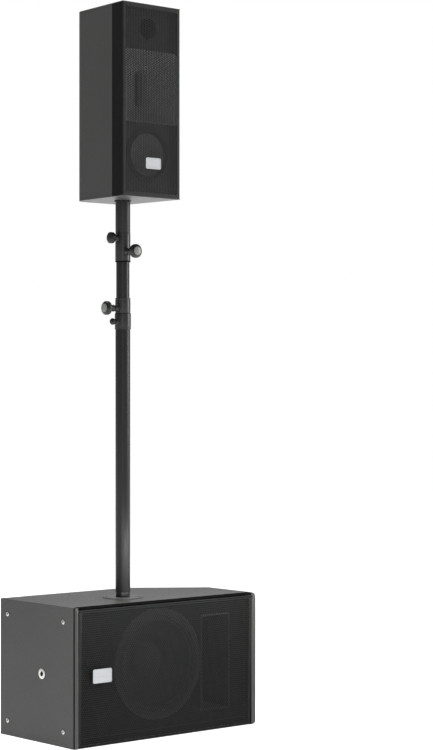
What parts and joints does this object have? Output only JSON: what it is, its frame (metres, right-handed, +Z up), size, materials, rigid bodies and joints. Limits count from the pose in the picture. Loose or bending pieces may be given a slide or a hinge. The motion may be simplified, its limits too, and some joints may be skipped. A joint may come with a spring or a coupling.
{
  "type": "pa speaker stack",
  "caption": "Portable passive loudspeaker stack: a subwoofer with a slot port, a telescopic distance pole with clamp knobs, and a slim horn-loaded top cabinet.",
  "frame": {"origin": "centre of the footprint's bounding box, on the floor", "axes": "+X to the right as seen from the front, the front faces -Y, +Z up"},
  "size_m": [0.544, 0.3049, 1.709],
  "materials": {
    "cabinet_lacquer": "matte",
    "grille_black": "satin",
    "moulded_black": "satin",
    "frame_casting": "satin",
    "motor_ferrite": "matte",
    "cone_paper": "matte",
    "surround_rubber": "matte",
    "spider_cloth": "matte",
    "coil_copper": "satin",
    "circuit_board": "satin",
    "flange_painted": "matte",
    "tube_black": "satin",
    "fitting_plastic": "satin",
    "knob_plastic": "satin",
    "screw_steel": "satin",
    "badge_silver": "satin"
  },
  "bodies": {
    "sub_cabinet": {"sub_side_left": "cabinet_lacquer", "sub_side_right": "cabinet_lacquer", "sub_top_board": "cabinet_lacquer", "sub_bottom_board": "cabinet_lacquer", "sub_back_board": "cabinet_lacquer", "sub_angled_board": "cabinet_lacquer", "sub_baffle": "cabinet_lacquer", "sub_grille": "grille_black", "sub_port_duct": "moulded_black", "sub_connector_plate": "moulded_black", "sub_socket_input": "moulded_black", "sub_socket_link": "moulded_black", "sub_crossover": "circuit_board", "woofer_frame": "frame_casting", "woofer_magnet": "motor_ferrite", "woofer_surround": "surround_rubber", "woofer_spider": "spider_cloth", "pole_flange": "flange_painted", "yoke_insert_left": "screw_steel", "yoke_insert_right": "screw_steel", "screw_left_1": "screw_steel", "screw_left_2": "screw_steel", "screw_left_3": "screw_steel", "screw_left_4": "screw_steel", "screw_right_1": "screw_steel", "screw_right_2": "screw_steel", "screw_right_3": "screw_steel", "screw_right_4": "screw_steel", "sub_badge": "badge_silver"},
    "woofer_moving": {"woofer_cone": "cone_paper", "woofer_dust_cap": "cone_paper", "woofer_voice_coil": "coil_copper"},
    "pole_base": {"pole_stud": "fitting_plastic", "pole_lower_tube": "tube_black", "pole_lower_collar": "fitting_plastic", "pole_clamp_ring": "fitting_plastic"},
    "lower_clamp_screw": {"lower_clamp_stud": "screw_steel"},
    "lower_clamp_head": {"lower_clamp_knob": "knob_plastic"},
    "lower_pin": {"lower_lock_pin": "knob_plastic"},
    "middle_mast": {"pole_middle_tube": "tube_black"},
    "upper_mast": {"pole_upper_collar": "fitting_plastic", "pole_upper_tube": "tube_black"},
    "upper_clamp_screw": {"upper_clamp_stud": "screw_steel"},
    "upper_clamp_head": {"upper_clamp_knob": "knob_plastic"},
    "upper_pin": {"upper_lock_pin": "knob_plastic"},
    "swivel_washer": {"thrust_washer": "fitting_plastic"},
    "top_cabinet": {"top_shell": "cabinet_lacquer", "top_base_plate": "cabinet_lacquer", "top_cap_plate": "cabinet_lacquer", "top_grille": "grille_black", "top_baffle": "moulded_black", "top_pole_socket": "tube_black", "horn": "moulded_black", "compression_driver": "motor_ferrite", "top_woofer_frame": "frame_casting", "top_woofer_surround": "surround_rubber", "top_connector_plate": "moulded_black", "top_socket_input": "moulded_black", "top_badge": "badge_silver"},
    "top_woofer_moving": {"top_woofer_cone": "cone_paper"}
  },
  "joints": [
    {"name": "woofer_travel", "type": "slide", "parent": "sub_cabinet", "child": "woofer_moving", "axis": [0, -1, 0], "range_m": [-0.006, 0.006], "stiffness_N_per_m": 2500, "deforming": ["woofer_surround", "woofer_spider"]},
    {"name": "pole_lift", "type": "slide", "parent": "sub_cabinet", "child": "pole_base", "axis": [0, 0, 1], "range_m": [0, 0.03]},
    {"name": "lower_clamp_travel", "type": "slide", "parent": "pole_base", "child": "lower_clamp_screw", "axis": [-1, 0, 0], "range_m": [0, 0.0025]},
    {"name": "lower_clamp_turn", "type": "hinge", "parent": "lower_clamp_screw", "child": "lower_clamp_head", "pos_m": [-0.042, -0.0288, 1.0046], "axis": [-1, 0, 0], "range_deg": [0, 720]},
    {"name": "lower_pin_pull", "type": "slide", "parent": "pole_base", "child": "lower_pin", "axis": [-1, 0, 0], "range_m": [0, 0.006], "stiffness_N_per_m": 400, "springref_m": -0.005},
    {"name": "middle_extend", "type": "slide", "parent": "pole_base", "child": "middle_mast", "axis": [0, 0, 1], "range_m": [-0.08, 0.36]},
    {"name": "upper_extend", "type": "slide", "parent": "middle_mast", "child": "upper_mast", "axis": [0, 0, 1], "range_m": [0, 0.1]},
    {"name": "upper_clamp_travel", "type": "slide", "parent": "upper_mast", "child": "upper_clamp_screw", "axis": [0, -1, 0], "range_m": [0, 0.0025]},
    {"name": "upper_clamp_turn", "type": "hinge", "parent": "upper_clamp_screw", "child": "upper_clamp_head", "pos_m": [-0.042, -0.0288, 1.1385], "axis": [0, -1, 0], "range_deg": [0, 720]},
    {"name": "upper_pin_pull", "type": "slide", "parent": "upper_mast", "child": "upper_pin", "axis": [-1, 0, 0], "range_m": [0, 0.006], "stiffness_N_per_m": 400, "springref_m": -0.005},
    {"name": "top_swivel", "type": "hinge", "parent": "upper_mast", "child": "swivel_washer", "pos_m": [-0.042, -0.0288, 1.3353], "axis": [0, 0, 1], "continuous": true},
    {"name": "top_lift", "type": "slide", "parent": "swivel_washer", "child": "top_cabinet", "axis": [0, 0, 1], "range_m": [0, 0.09]},
    {"name": "top_woofer_travel", "type": "slide", "parent": "top_cabinet", "child": "top_woofer_moving", "axis": [0, -1, 0], "range_m": [-0.003, 0.003], "stiffness_N_per_m": 1500, "deforming": ["top_woofer_surround"]}
  ],
  "couplings": [
    {"joint": "lower_clamp_turn", "follows": "lower_clamp_travel", "rad_per_m": 5026.5},
    {"joint": "upper_clamp_turn", "follows": "upper_clamp_travel", "rad_per_m": 5026.5}
  ]
}
